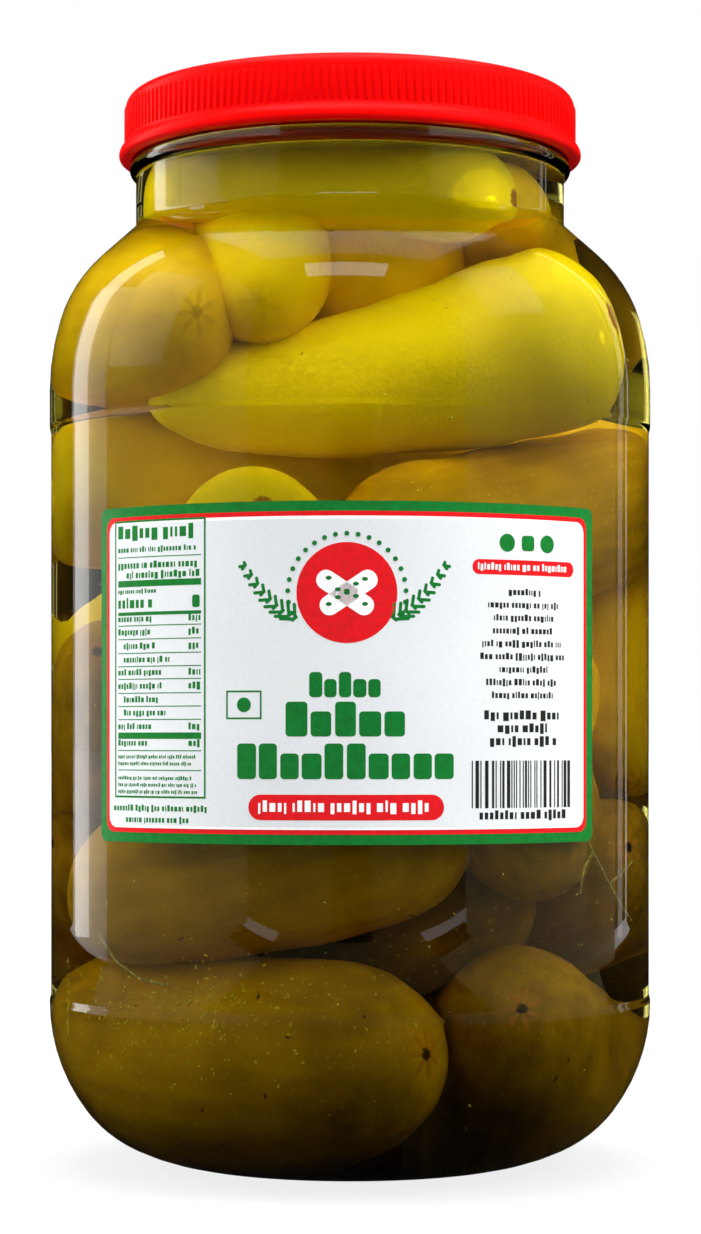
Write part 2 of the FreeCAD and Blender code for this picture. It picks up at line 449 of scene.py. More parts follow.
def makeGlassJar():
    beadRadius, beadProud = jar["bead"]
    neck = jar["neckRadius"]
    outside, top = walk((0, puntHeight), 0, lowMoves + panelMoves + shoulderMoves)
    beadMiddle = neck + beadProud - beadRadius
    reach = math.acos((neck - beadMiddle) / beadRadius)
    for part in range(15):
        angle = reach * (part / 7 - 1)
        outside.append((beadMiddle + beadRadius * math.cos(angle),
                        beadLevel + beadRadius * math.sin(angle)))
    rimStart = (neck, beadLevel + beadRadius * math.sin(reach))
    upper = rimLevel - jar["rimRound"] - rimStart[1]
    outside += walk(rimStart, 90, [(upper, 0), (jar["rimRound"], 90)])[0][1:]
    inside = insideOutline(jar["wall"]) + [(neck - jar["wall"], rimLevel)]
    piece = turnOnLathe("glassJar", outside + inside[::-1], jar["spinSteps"])
    smooth(piece, 40)
    finishPiece(piece, makeGlassMaterial("mouldBlownGlass", "#FFFFFF"), "glass_jar")
    piece.data.materials.append(makeGlassMaterial("wettedGlass", "#202020"))
    baseTop = (puntHeight + jar["wall"] / 2 + 4) * mm
    for face in piece.data.polygons:
        inward = face.normal.x * face.center.x + face.normal.y * face.center.y < 0
        baseInside = face.center.z < baseTop and face.normal.z > 0.5
        if (inward or baseInside) and face.center.z < brineLevel * mm:
            face.material_index = 1


brine = {
    "absorb": (0.96, 0.89, 0.05),   # what is left of red, green and blue
    "density": 16.0,                # per metre
    "dropAtWall": 0.5,              # mm that the surface lies below its edge
}


def makeBrineMaterial():
    # Salt and vinegar water, yellow from the spice oils: clear near the wall, olive when deep.
    material, tree = newMaterial("pickleBrine")
    place = placeOnPiece(tree)
    wave = addBump(tree, addNoise(tree, place, 0.030, 1.0), 0.12, 0.1)
    water = addNode(tree, "ShaderNodeBsdfPrincipled", {
        "Base Color": linear("#FFFFFA"), "Transmission Weight": 1.0, "IOR": 1.34, "Roughness": 0.0,
        "Specular Tint": linear("#202020")},
        {"Normal": wave})
    tint = addNode(tree, "ShaderNodeVolumeAbsorption", {
        "Color": list(brine["absorb"]) + [1.0], "Density": brine["density"]})
    addOutput(tree, water, Volume=tint.outputs[0])
    return material


def makeBrine():
    reach = jar["wall"] - jar["brineReach"]
    outline = [point for point in insideOutline(reach) if point[1] < brineLevel - 0.5]
    edge = jar["neckRadius"] - reach
    drop = brine["dropAtWall"]
    width = jar["meniscus"]
    outline += [(edge, brineLevel), (edge - width * 0.3, brineLevel - drop * 0.6),
                (edge - width, brineLevel - drop * 0.9), (edge - 2 * width, brineLevel - drop),
                (edge / 2, brineLevel - drop), (0, brineLevel - drop)]
    piece = turnOnLathe("brine", outline, jar["spinSteps"])
    smooth(piece, 50)
    finishPiece(piece, makeBrineMaterial(), "brine")


makeGlassJar()
makeBrine()


lid = {                             # mm and degrees
    "inner": 55.35,
    "wall": 1.5,
    "edge": 1.2,
    "flareOut": 1.3,
    "flareTurn": 45.0,
    "corner": 3.4,
    "rim": 7.0,
    "topStep": (0.8, 50.0),
    "ribs": 180,
    "ribProud": 0.35,
    "ribWidth": 1.15,
    "ribLow": 4.6,
    "ribHeight": 8.4,
    "spinSteps": 180,
    "colour": "#F00000",
}


def makeLidMaterial():
    # Injection-moulded polypropylene: soft gloss, fine skin texture, duller where hands rub.
    material, tree = newMaterial("mouldedRedPlastic")
    place = placeOnPiece(tree)
    cloud = addNoise(tree, place, 0.018, 4.0)
    red = addRamp(tree, cloud, [(0.3, linear("#E60000")), (0.7, linear(lid["colour"]))])
    gloss = addRamp(tree, cloud, [(0.3, 0.30), (0.7, 0.42)])
    orange = addBump(tree, addNoise(tree, place, 0.0005, 2.0), 0.12, 0.02)
    plastic = addNode(tree, "ShaderNodeBsdfPrincipled", {"IOR": 1.49, "Specular IOR Level": 0.06},
                      {"Base Color": red, "Roughness": gloss, "Normal": orange})
    addOutput(tree, plastic)
    return material


def makeRibs(lidBottom, ribRoot):
    # One round-ended rib is shaped from a ball, and copied round the skirt.
    clearSelection()
    middle = lidBottom + lid["ribLow"] + lid["ribHeight"] / 2
    bpy.ops.mesh.primitive_uv_sphere_add(
        segments=10, ring_count=8, radius=lid["ribWidth"] / 2 * mm, location=(0, 0, 0))
    ribs = bpy.context.object
    half = (lid["ribHeight"] - lid["ribWidth"]) / 2 * mm
    bpy.ops.object.mode_set(mode="OBJECT")
    for side in (-1, 1):
        bpy.ops.object.mode_set(mode="EDIT")
        bpy.ops.mesh.select_all(action="DESELECT")
        bpy.ops.object.mode_set(mode="OBJECT")
        for vertex in ribs.data.vertices:
            vertex.select = vertex.co.z * side > 0.01 * mm
        bpy.ops.object.mode_set(mode="EDIT")
        bpy.ops.mesh.select_mode(type="VERT")
        bpy.ops.transform.translate(value=(0, 0, side * half))
    bpy.ops.mesh.select_all(action="SELECT")
    depth = 2 * lid["ribProud"] / lid["ribWidth"]
    bpy.ops.transform.resize(value=(depth, 1, 1), center_override=(0, 0, 0))
    bpy.ops.transform.translate(value=(ribRoot * mm, 0, middle * mm))
    turn = 2 * math.pi / lid["ribs"]
    bpy.ops.mesh.spin(steps=lid["ribs"] - 1, dupli=True, angle=2 * math.pi - turn,
                      center=(0, 0, 0), axis=(0, 0, 1))
    bpy.ops.object.mode_set(mode="OBJECT")
    return ribs


def makeLid():
    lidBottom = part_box("screw_lid")[0].z / mm
    lidTop = rimLevel + lid["wall"]
    ribRoot = lid["inner"] + lid["wall"]
    lip = lid["flareOut"] + lid["ribProud"]
    flare = lip / (2 * fall(0, lid["flareTurn"]))
    skirt = lidTop - lidBottom - lid["edge"] - 2 * flare * rise(0, lid["flareTurn"]) - lid["corner"]
    stepSize, stepBend = lid["topStep"]
    stepOut = 2 * stepSize * rise(0, stepBend)
    moves = [
        (lid["wall"] + lip - lid["edge"], 0), (lid["edge"], 90), (flare, lid["flareTurn"]),
        (flare, -lid["flareTurn"]), (skirt, 0), (lid["corner"], 90), (lid["rim"] - lid["corner"], 0),
        (stepSize, stepBend), (stepSize, -stepBend), (ribRoot - lid["rim"] - stepOut, 0)]
    outside, end = walk((lid["inner"], lidBottom), 0, moves)
    outline = outside[:-1] + [(0, end[1]), (0, rimLevel), (lid["inner"], rimLevel), outside[0]]
    shell = turnOnLathe("screwLid", outline, lid["spinSteps"])
    smooth(shell, 35)
    ribs = makeRibs(lidBottom, ribRoot)
    smooth(ribs)
    piece = joinPieces("screwLid", [shell, ribs])
    finishPiece(piece, makeLidMaterial(), "screw_lid")


makeLid()
print("lid done")


label = {                           # mm from the label's middle, across and up
    "turn": -1.0,                   # degrees round the jar
    "spread": 100.8,                # degrees of the jar that it covers
    "paper": 0.15,
    "ink": 0.03,
    "column": 1.5,                  # the curve is made of flats this wide
    "corner": 2.0,
    "greenBorder": 2.35,
    "redLine": 1.1,
    "halo": 0.7,
    "fieldCorner": 2.6,
}


class PrintSheet:
    # Flat shapes laid on a plane, then cut in columns, thickened and wrapped round the jar.
    def __init__(self, name, level):
        self.name = name
        self.level = level
        clearSelection()
        bpy.ops.mesh.primitive_plane_add(size=mm, location=(0, 0, 0))
        self.piece = bpy.context.object
        self.piece.name = name
        bpy.ops.object.mode_set(mode="EDIT")
        bpy.ops.mesh.delete(type="VERT")

    def block(self, across, up, width, height, corner=0.0, turn=0.0):
        bpy.ops.mesh.primitive_plane_add(size=mm, location=(0, 0, 0), rotation=(math.pi / 2, 0, 0))
        bpy.ops.transform.resize(value=(width, 1, height), center_override=(0, 0, 0))
        if corner:
            bpy.ops.mesh.bevel(offset=corner * mm, segments=6, affect="VERTICES")
        if turn:
            bpy.ops.transform.rotate(value=math.radians(turn), orient_axis="Y", center_override=(0, 0, 0))
        bpy.ops.transform.translate(value=(across * mm, 0, up * mm))

    def disc(self, across, up, radius, stretch=1.0, turn=0.0):
        bpy.ops.mesh.primitive_circle_add(
            vertices=48, radius=radius * mm, fill_type="NGON", location=(0, 0, 0),
            rotation=(math.pi / 2, 0, 0))
        bpy.ops.transform.resize(value=(stretch, 1, 1), center_override=(0, 0, 0))
        if turn:
            bpy.ops.transform.rotate(value=math.radians(turn), orient_axis="Y", center_override=(0, 0, 0))
        bpy.ops.transform.translate(value=(across * mm, 0, up * mm))

    def frame(self, left, low, right, high, line):
        self.block((left + right) / 2, low + line / 2, right - left, line)
        self.block((left + right) / 2, high - line / 2, right - left, line)
        self.block(left + line / 2, (low + high) / 2, line, high - low - 2 * line)
        self.block(right - line / 2, (low + high) / 2, line, high - low - 2 * line)

    def words(self, left, right, middle, height, dice, weight=0.62):
        # Rows of small upright blocks that read as lines of words from a distance.
        across = left
        letters = dice.randint(3, 8)
        while across < right - 0.3 * height:
            wide = height * weight * dice.choice((0.45, 0.8, 0.9, 1.0, 1.25))
            wide = min(wide, right - across)
            up = dice.choice((0.0, 0.0, 0.0, 0.3)) * height
            down = dice.choice((0.0, 0.0, 0.0, 0.0, 0.25)) * height
            self.block(across + wide / 2, middle + (up - down) / 2, wide, height + up + down)
            across += wide + 0.30 * height
            letters -= 1
            if letters == 0:
                across += 0.45 * height
                letters = dice.randint(2, 8)

    def wrap(self, thickness):
        radius = panelRadius * mm
        edges = [vertex.co.x for vertex in self.shown()]
        for column in range(math.floor(min(edges) / mm / label["column"]),
                            math.ceil(max(edges) / mm / label["column"]) + 1):
            bpy.ops.object.mode_set(mode="EDIT")
            bpy.ops.mesh.select_all(action="SELECT")
            bpy.ops.mesh.bisect(plane_co=(column * label["column"] * mm, 0, 0), plane_no=(1, 0, 0))
        bpy.ops.object.mode_set(mode="OBJECT")
        piece = self.piece
        pick([piece])
        thicken = piece.modifiers.new("thickness", "SOLIDIFY")
        thicken.thickness = thickness * mm
        thicken.offset = 1.0
        applyModifiers(piece)
        piece.location = (0, -self.level * mm, 0)
        settle(piece)
        across = [vertex.co.x for vertex in piece.data.vertices]
        bend = piece.modifiers.new("roundTheJar", "SIMPLE_DEFORM")
        bend.deform_method = "BEND"
        bend.deform_axis = "Z"
        bend.angle = (max(across) - min(across)) / radius
        applyModifiers(piece)
        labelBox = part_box("label")
        piece.location = (0, -radius, (labelBox[0].z + labelBox[1].z) / 2)
        settle(piece)
        piece.rotation_euler = (0, 0, math.radians(label["turn"]))
        return settle(piece)

    def shown(self):
        bpy.ops.object.mode_set(mode="OBJECT")
        return self.piece.data.vertices


def makeInk(name, hexColour, darker, gloss):
    # Flexographic ink under varnish: flat colour with a faint press mottle and a satin sheen.
    material, tree = newMaterial(name)
    place = placeOnPiece(tree)
    mottle = addNoise(tree, place, 0.0016, 3.0)
    colour = addRamp(tree, mottle, [(0.35, linear(darker)), (0.62, linear(hexColour))])
    rough = addRamp(tree, mottle, [(0.3, gloss + 0.12), (0.7, gloss)])
    ink = addNode(tree, "ShaderNodeBsdfPrincipled", {"IOR": 1.46},
                  {"Base Color": colour, "Roughness": rough})
    addOutput(tree, ink)
    return material


def makeLabelPaper(name, light, shade):
    # Coated label paper: near white, faintly cool, with fibres that only just show.
    material, tree = newMaterial(name)
    place = placeOnPiece(tree)
    fibre = addNoise(tree, place, 0.0008, 4.0)
    cloud = addNoise(tree, place, 0.030, 2.0)
    both = addNode(tree, "ShaderNodeMix", {"data_type": "FLOAT", 0: 0.5}, {2: fibre, 3: cloud})
    colour = addRamp(tree, both.outputs[0], [(0.35, linear(shade)), (0.65, linear(light))])
    tooth = addBump(tree, fibre, 0.15, 0.01)
    paper = addNode(tree, "ShaderNodeBsdfPrincipled", {"Roughness": 0.42, "IOR": 1.46},
                    {"Base Color": colour, "Normal": tooth})
    addOutput(tree, paper)
    return material


def labelSize():
    lowCorner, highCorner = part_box("label")
    height = (highCorner.z - lowCorner.z) / mm
    width = math.radians(label["spread"]) * (panelRadius + label["paper"])
    return width, height


def makeLabelFields():
    # The sheet, printed green to its edge, then a red line and the pale field on it.
    width, height = labelSize()
    paper = makeLabelPaper("coatedLabelPaper", "#E2E6E8", "#DADEE1")
    sheet = PrintSheet("labelSheet", 0.0)
    sheet.block(0, 0, width, height, label["corner"])
    finishPiece(sheet.wrap(label["paper"]), paper, "label")
    level = label["paper"]
    inset = 0.0
    green = makeInk("greenInk", "#007B2C", "#007026", 0.32)
    red = makeInk("redInk", "#E60012", "#D60010", 0.32)
    white = makeInk("whiteInk", "#FCFCFC", "#F4F4F4", 0.34)
    for name, ink, slot, grow, corner in (
            ("greenBorder", green, "green_ink", label["greenBorder"], label["corner"]),
            ("redBorder", red, "red_ink", label["redLine"], label["fieldCorner"]),
            ("whiteHalo", white, "label_paper", label["halo"], label["fieldCorner"]),
            ("paleField", paper, "label_paper", 0.0, label["fieldCorner"])):
        sheet = PrintSheet(name, level)
        sheet.block(0, 0, width - 2 * inset, height - 2 * inset, corner)
        finishPiece(sheet.wrap(label["ink"]), ink)
        level += label["ink"]
        inset += grow
    return level, green, red, white


facts = {                           # the facts box, mm
    "box": (-61.0, -29.0, -33.2, 36.3),
    "line": 0.45,
    "rules": (27.6, 11.5, 8.3, 5.0, 1.9, -1.1, -4.4, -7.5, -10.6, -17.9, -22.5),
    "bars": ((21.4, 1.5), (14.3, 0.8), (-14.4, 1.5)),
    "rows": (13.0, 9.9, 6.6, 3.4, 0.4, -2.8, -6.0, -9.1, -12.3, -16.2),
    "footRows": (-19.4, -21.0, -24.4, -26.0, -27.6),
    # in from the left edge, in from the right edge, height of its middle, height of its blocks
    "headLines": ((1.2, 1.2, 33.2, 2.3), (1.2, 2.6, 29.3, 1.0), (1.2, 1.6, 25.6, 1.25),
                  (4.2, 1.4, 23.3, 1.25), (1.2, 13.8, 19.5, 0.8), (1.2, 14.3, 16.6, 1.9)),
    "underLines": ((-0.4, -0.6, -31.5, 1.1), (4.0, 4.2, -34.2, 1.1)),
}
roundel = {
    "middle": (0.6, 18.4),
    "radius": 11.6,
    "ring": 13.6,                   # of dots round it
    "lean": 34,                     # degrees, of the two crossed gherkins
}
title = {                           # left, right, low, high, and how many blocks
    "rows": ((-8.2, 8.6, -5.6, 0.2, 5), (-13.8, 14.4, -14.6, -6.6, 5), (-25.4, 25.8, -24.4, -16.2, 10)),
    "heights": (0.72, 0.72, 1.0),   # shares of a row's height
    "corner": 0.9,
}
sprig = {                           # mm and degrees
    "steps": 9,
    "start": (11.5, 12.5),          # from the label's middle, across and up
    "reach": 12.0,
    "stalk": (1.9, 0.8, 0.35),      # length, width and corner of each piece
    "leaf": 3.6,
    "leafLoss": 2.2,                # how much shorter the last leaf is
    "leafLean": 48,
}
pills = {                           # across, up, width, height, corner
    "size": (0.4, -30.9, 45.6, 5.9, 2.9),
    "address": (44.8, 24.7, 29.2, 3.5, 1.7),
}
column = {
    "middle": 44.2,
    "lines": ((18.9, 9.0), (15.9, 20.0), (12.9, 17.0), (9.9, 17.5), (6.9, 23.0), (3.9, 24.0),
              (0.9, 14.0), (-2.1, 21.0), (-5.1, 18.0)),
    "boldLines": ((-9.8, 22.0), (-12.8, 15.0), (-15.8, 19.0)),
    "stripes": (30.0, -31.2, 59.0, -20.2),
}


def makeGreenPrint(level, ink):
    dice = random.Random(11)
    sheet = PrintSheet("greenPrint", level)
    left, low, right, high = facts["box"]
    sheet.frame(left, low, right, high, facts["line"])
    middle = (left + right) / 2
    wide = right - left - 2.4
    for fromLeft, fromRight, up, tall in facts["headLines"]:
        sheet.words(left + fromLeft, right - fromRight, up, tall, dice)
    sheet.block(right - 2.6, 16.9, 2.0, 2.9, 0.5)
    for rule in facts["rules"]:
        sheet.block(middle, rule, wide, 0.22)
    for rule, thick in facts["bars"]:
        sheet.block(middle, rule, wide, thick)
    for number, row in enumerate(facts["rows"]):
        start = left + 1.2 + (2.0 if number in (2, 3, 6, 7) else 0.0)
        sheet.words(start, start + dice.uniform(10, 15), row, 1.1, dice)
        if number not in (3, 6, 7):
            sheet.words(right - 4.6, right - 1.4, row, 1.2, dice)
    for row in facts["footRows"]:
        sheet.words(left + 1.2, right - dice.uniform(1.4, 5), row, 0.65, dice)
    for fromLeft, fromRight, up, tall in facts["underLines"]:
        sheet.words(left + fromLeft, right - fromRight, up, tall, dice)
    sheet.frame(-27.9, -10.6, -19.2, -4.0, 0.4)
    sheet.disc(-23.5, -7.3, 1.7)
    titleRows(sheet, dice)
    dillSprigs(sheet)
    sheet.disc(39.3, 30.4, 2.1)
    sheet.block(45.1, 30.4, 3.6, 3.6, 0.9)
    sheet.disc(50.8, 30.4, 2.1)
    finishPiece(sheet.wrap(label["ink"]), ink)


def titleRows(sheet, dice):
    # Three rows of heavy rounded blocks where a name would stand.
    for left, right, low, high, count in title["rows"]:
        pitch = (right - left) / count
        tall = high - low
        for number in range(count):
            top = tall if number in (0, count // 2) else tall * dice.choice(title["heights"])
            wide = pitch * (0.84 if number % 3 else 0.9)
            sheet.block(left + pitch * (number + 0.5), low + top / 2, wide, top, title["corner"])


def dillSprigs(sheet):
    # A fern-like sprig leans out on each side of the roundel.
    startAcross, startUp = sprig["start"]
    for side in (-1, 1):
        for step in range(sprig["steps"]):
            share = step / (sprig["steps"] - 1)
            across = side * (startAcross + sprig["reach"] * share)
            up = startUp + sprig["reach"] * share ** 1.5
            sheet.block(across, up, *sprig["stalk"], side * -(38 + 14 * share))
            for lean in (-1, 1):
                leaf = sprig["leaf"] - sprig["leafLoss"] * share
                angle = side * -(45 + 12 * share) + lean * sprig["leafLean"]
                dx = math.cos(math.radians(-angle)) * leaf / 2 * side
                dz = math.sin(math.radians(-angle)) * leaf / 2 * side
                sheet.block(across + dx, up + dz, leaf, 0.75, 0.35, angle)


def makeRedPrint(level, ink):
    sheet = PrintSheet("redPrint", level)
    sheet.disc(*roundel["middle"], roundel["radius"])
    for pill in pills.values():
        sheet.block(*pill)
    finishPiece(sheet.wrap(label["ink"]), ink)


def makeWhitePrint(level, ink):
    dice = random.Random(23)
    sheet = PrintSheet("whitePrint", level)
    sheet.words(-20.0, 20.6, -30.9, 2.0, dice, 0.55)
    sheet.words(31.6, 58.0, 24.7, 1.25, dice, 0.55)
    across, up = roundel["middle"]
    for lean in (-1, 1):
        sheet.block(across + lean * 0.4, up, 15.0, 4.6, 2.25, lean * roundel["lean"])
    finishPiece(sheet.wrap(label["ink"]), ink)


def makeLeafPrint(level, ink):
    # Green spots on the two crossed gherkins, and a ring of dots over the roundel.
    dice = random.Random(5)
    sheet = PrintSheet("leafPrint", level)
    across, up = roundel["middle"]
    for lean in (-1, 1):
        for step in range(5):
            along = (step - 2) * 2.5
            angle = math.radians(lean * roundel["lean"])
            lift = dice.uniform(-0.7, 0.7)
            sheet.disc(across + along * math.cos(angle), up - along * math.sin(angle) + lift, 0.45, 1.5)
    for step in range(21):
        angle = math.radians(200 - 11 * step)
        sheet.disc(across + roundel["ring"] * math.cos(angle), up + roundel["ring"] * math.sin(angle), 0.55)
    finishPiece(sheet.wrap(label["ink"]), ink)


def makeBlackPrint(level, ink):
    dice = random.Random(37)
    sheet = PrintSheet("blackPrint", level)
    for row, wide in column["lines"]:
        sheet.words(column["middle"] - wide / 2, column["middle"] + wide / 2, row, 1.15, dice, 0.6)
    for row, wide in column["boldLines"]:
        sheet.words(column["middle"] - wide / 2, column["middle"] + wide / 2, row, 1.6, dice, 0.75)
    left, low, right, high = column["stripes"]
    across = left
    while across < right - 0.8:
        wide = dice.choice((0.3, 0.3, 0.6, 0.9))
        sheet.block(across + wide / 2, (low + high) / 2, wide, high - low)
        across += wide + dice.choice((0.3, 0.35, 0.65, 0.9))
    sheet.words(left + 2, right - 2, -33.0, 1.6, dice, 0.6)
    finishPiece(sheet.wrap(label["ink"]), ink)


printLevel, greenInk, redInk, whiteInk = makeLabelFields()
makeGreenPrint(printLevel, greenInk)
makeRedPrint(printLevel, redInk)
makeBlackPrint(printLevel, makeInk("blackInk", "#1E2422", "#161B19", 0.36))
makeWhitePrint(printLevel + label["ink"], whiteInk)
makeLeafPrint(printLevel + 2 * label["ink"], greenInk)
print("label done")


# Ends of each pickle's core line and the thickness at each end (mm), how yellow it is, and its bow (degrees).
# How yellow also holds painted shade: the pickles high in the jar are made brighter and the low ones darker,
# as light from above would leave them.
pickles = {
    "bigTop": ((-32, -30, 190), (38, -30, 201), 24, 47, 1.05, 14),
    "paleLeft": ((-37, -36, 207), (-50, -6, 208), 36, 38, 0.70, 5),
    "topTip": ((-23, -32, 219), (-12, 12, 240), 28, 36, 0.88, 8),
    "longLeft": ((-50, -8, 166), (20, 4, 166), 43, 42, 0.84, -6),
    "endOn": ((-26, 34, 136), (-21, -50, 157), 38, 38, 0.99, 5),
    "rightRise": ((17, -40, 147), (52, 8, 166), 40, 42, 0.42, 6),
    "lowLeft": ((0, -49, 31), (-44, -12, 34), 47, 44, 0.38, 5),
    "lowRight": ((41, -43, 36), (28, 28, 28), 40, 42, 0.34, 4),
    "lowMiddle": ((-44, -26, 68), (8, -42, 82), 38, 42, 0.45, 5),
    "rightStand": ((41, -46, 90), (30, -48, 128), 38, 42, 0.34, 4),
    "farRight": ((52, -4, 74), (24, 40, 60), 40, 40, 0.34, 4),
    "neckFront": ((-30, -22, 236), (26, -26, 238), 32, 36, 1.05, 8),
    "neckBack": ((-26, 22, 228), (26, 16, 236), 36, 40, 0.86, -8),
    "neckRight": ((24, -24, 236), (18, 34, 218), 34, 38, 0.74, 4),
}
filling = {
    "seed": 7,
    "spare": 9,                     # more pickles at the back and in the middle
    "thickness": (38, 43),
    "length": (116, 130),
    "rounds": 240,
    "hold": 0.3,                    # how hard the named ones go back to their places each round
    "snug": 0.98,                   # share of the two radii that two pickles keep between them
    "namedGives": 0.08,             # share of a push that a named one takes from a spare one
    "spareGives": 0.92,
    "swing": 1.3,                   # how far an end moves for a push beside it
    "lumps": (("slowLumps", 26, 3.2), ("smallLumps", 9, 0.7)),    # their size and height, mm
}
pickleForm = {                      # shares of the thickness, and degrees
    "tip": (0.26, 0.30),
    "flank": 0.85,
    "tipTurn": 56.0,
    "flankTurn": 30.0,
    "rowSpacing": 3.2,              # mm between rings of vertices
    "spinSteps": 40,
}


def nearestOnLine(pointA, pointB, other):
    way = pointB - pointA
    share = np.clip(np.dot(other - pointA, way) / max(np.dot(way, way), 1e-9), 0, 1)
    return share, pointA + way * share


def closestShares(a0, a1, b0, b1):
    shareA, shareB = 0.5, 0.5
    for _ in range(6):
        spot = a0 + (a1 - a0) * shareA
        shareB, spot = nearestOnLine(b0, b1, spot)
        shareA, spot = nearestOnLine(a0, a1, spot)
    return shareA, shareB


def pushOffGlass(spot, radius, corners, normals):
    # corners are the inside outline; the spot moves inward until it clears it by radius.
    out = math.hypot(spot[0], spot[1])
    here = np.array((out, spot[2]))
    gaps = ((here - corners[:-1]) * normals).sum(axis=1)
    along = corners[1:] - corners[:-1]
    length = (along * along).sum(axis=1)
    share = ((here - corners[:-1]) * along).sum(axis=1) / length
    near = (share > -0.3) & (share < 1.3) & (gaps < radius)
    if not near.any():
        return spot
    move = np.zeros(2)
    for number in np.nonzero(near)[0]:
        if gaps[number] > -40:
            step = normals[number] * (radius - gaps[number])
            if np.dot(step, step) > np.dot(move, move):
                move = step
    newOut = max(out + move[0], 0)
    ratio = newOut / out if out > 1e-6 else 1
    return np.array((spot[0] * ratio, spot[1] * ratio, spot[2] + move[1]))


class Pickle:
    def __init__(self, name, start, end, startThick, endThick, yellow, bow, named):
        self.name = name
        self.ends = [np.array(start, float), np.array(end, float)]
        self.home = [spot.copy() for spot in self.ends]
        self.radii = (startThick / 2, endThick / 2)
        self.core = np.linalg.norm(self.ends[1] - self.ends[0])
        self.yellow = yellow
        self.bow = bow
        self.named = named

    def spot(self, share):
        return self.ends[0] + (self.ends[1] - self.ends[0]) * share

    def radius(self, share):
        return self.radii[0] + (self.radii[1] - self.radii[0]) * share

    def push(self, share, move):
        self.ends[0] = self.ends[0] + move * (1 - share) * filling["swing"]
        self.ends[1] = self.ends[1] + move * share * filling["swing"]

    def keepLength(self):
        middle = (self.ends[0] + self.ends[1]) / 2
        way = self.ends[1] - self.ends[0]
        way = way / max(np.linalg.norm(way), 1e-6) * self.core
        self.ends = [middle - way / 2, middle + way / 2]


def sparePickle(number, dice):
    thick = dice.uniform(*filling["thickness"])
    core = dice.uniform(*filling["length"]) - thick
    side = dice.uniform(0.12 * math.pi, 0.88 * math.pi)
    level = 40 + 155 * (number + 0.5) / filling["spare"]
    out = dice.uniform(15, 42)
    middle = np.array((out * math.cos(side), out * math.sin(side), level))
    lean = dice.uniform(-0.5, 0.5)
    heading = dice.uniform(0, math.pi)
    way = np.array((math.cos(heading) * math.cos(lean), math.sin(heading) * math.cos(lean), math.sin(lean)))
    # Painted shade: a spare pickle is yellower the higher it lies and darker low down, with a little random
    # spread.
    yellow = 0.05 + 0.75 * level / 190 + dice.uniform(-0.06, 0.06)
    return Pickle("spare%d" % number, middle - way * core / 2, middle + way * core / 2,
                  thick, thick * dice.uniform(0.86, 1.0), yellow, dice.uniform(3, 9), False)


def hollowWalls():
    # The inside outline up to the brine's surface, as corners and inward normals.
    neck = jar["neckRadius"] - jar["wall"]
    corners = np.array(insideOutline(jar["wall"])[:-1] + [(neck, brineLevel), (0, brineLevel)])
    along = corners[1:] - corners[:-1]
    length = np.hypot(along[:, 0], along[:, 1])
    return corners, np.stack([-along[:, 1], along[:, 0]], axis=1) / length[:, None]


def partPair(first, second):
    shareA, shareB = closestShares(*first.ends, *second.ends)
    gap = first.spot(shareA) - second.spot(shareB)
    far = max(np.linalg.norm(gap), 1e-6)
    room = (first.radius(shareA) + second.radius(shareB)) * filling["snug"] - far
    if room <= 0:
        return
    giveFirst = 0.5
    if first.named != second.named:
        giveFirst = filling["namedGives" if first.named else "spareGives"]
    first.push(shareA, gap / far * room * 0.5 * giveFirst)
    second.push(shareB, -gap / far * room * 0.5 * (1 - giveFirst))


def settlePickles():
    # The named pickles stay near their places, and the spare ones find room round them.
    dice = random.Random(filling["seed"])
    heap = [Pickle(name, *sizes, True) for name, sizes in pickles.items()]
    heap += [sparePickle(number, dice) for number in range(filling["spare"])]
    corners, normals = hollowWalls()
    for _ in range(filling["rounds"]):
        for number, first in enumerate(heap):
            for second in heap[number + 1:]:
                partPair(first, second)
        for one in heap:
            if one.named:
                hold = filling["hold"]
                one.ends = [spot + (home - spot) * hold for spot, home in zip(one.ends, one.home)]
            one.ends = [pushOffGlass(spot, radius, corners, normals)
                        for spot, radius in zip(one.ends, one.radii)]
            one.keepLength()
    return heap


def makePickleBody(name, length, thick, dice):
    # A turned blank: blunt rounded ends and a slow belly between them.
    tip = thick * dice.uniform(*pickleForm["tip"])
    flank = thick * pickleForm["flank"]
    tipTurn = pickleForm["tipTurn"]
    flankTurn = pickleForm["flankTurn"]
    bellyTurn = 90 - tipTurn - flankTurn
    moves = [(tip, tipTurn), (flank, flankTurn)]
    shoulderUp = tip * fall(0, tipTurn) + flank * fall(tipTurn, tipTurn + flankTurn)
    halfLeft = length / 2 - shoulderUp
    belly = halfLeft / math.sin(math.radians(bellyTurn))
    moves += [(belly, 2 * bellyTurn), (flank, flankTurn), (tip, tipTurn)]
    outline = walk((0, -length / 2), 0, moves, fine=4.0)[0]
    fine = []
    for (x0, z0), (x1, z1) in zip(outline, outline[1:]):
        parts = max(1, round(math.hypot(x1 - x0, z1 - z0) / pickleForm["rowSpacing"]))
        fine += [(x0 + (x1 - x0) * p / parts, z0 + (z1 - z0) * p / parts) for p in range(parts)]
    fine.append(outline[-1])
    fine[0] = (0, fine[0][1])
    fine[-1] = (0, fine[-1][1])
    body = turnOnLathe(name, fine, pickleForm["spinSteps"])
    widest = max(x for x, z in fine)
    for vertex in body.data.vertices:
        vertex.co.x *= thick / 2 / widest
        vertex.co.y *= thick / 2 / widest
    return body


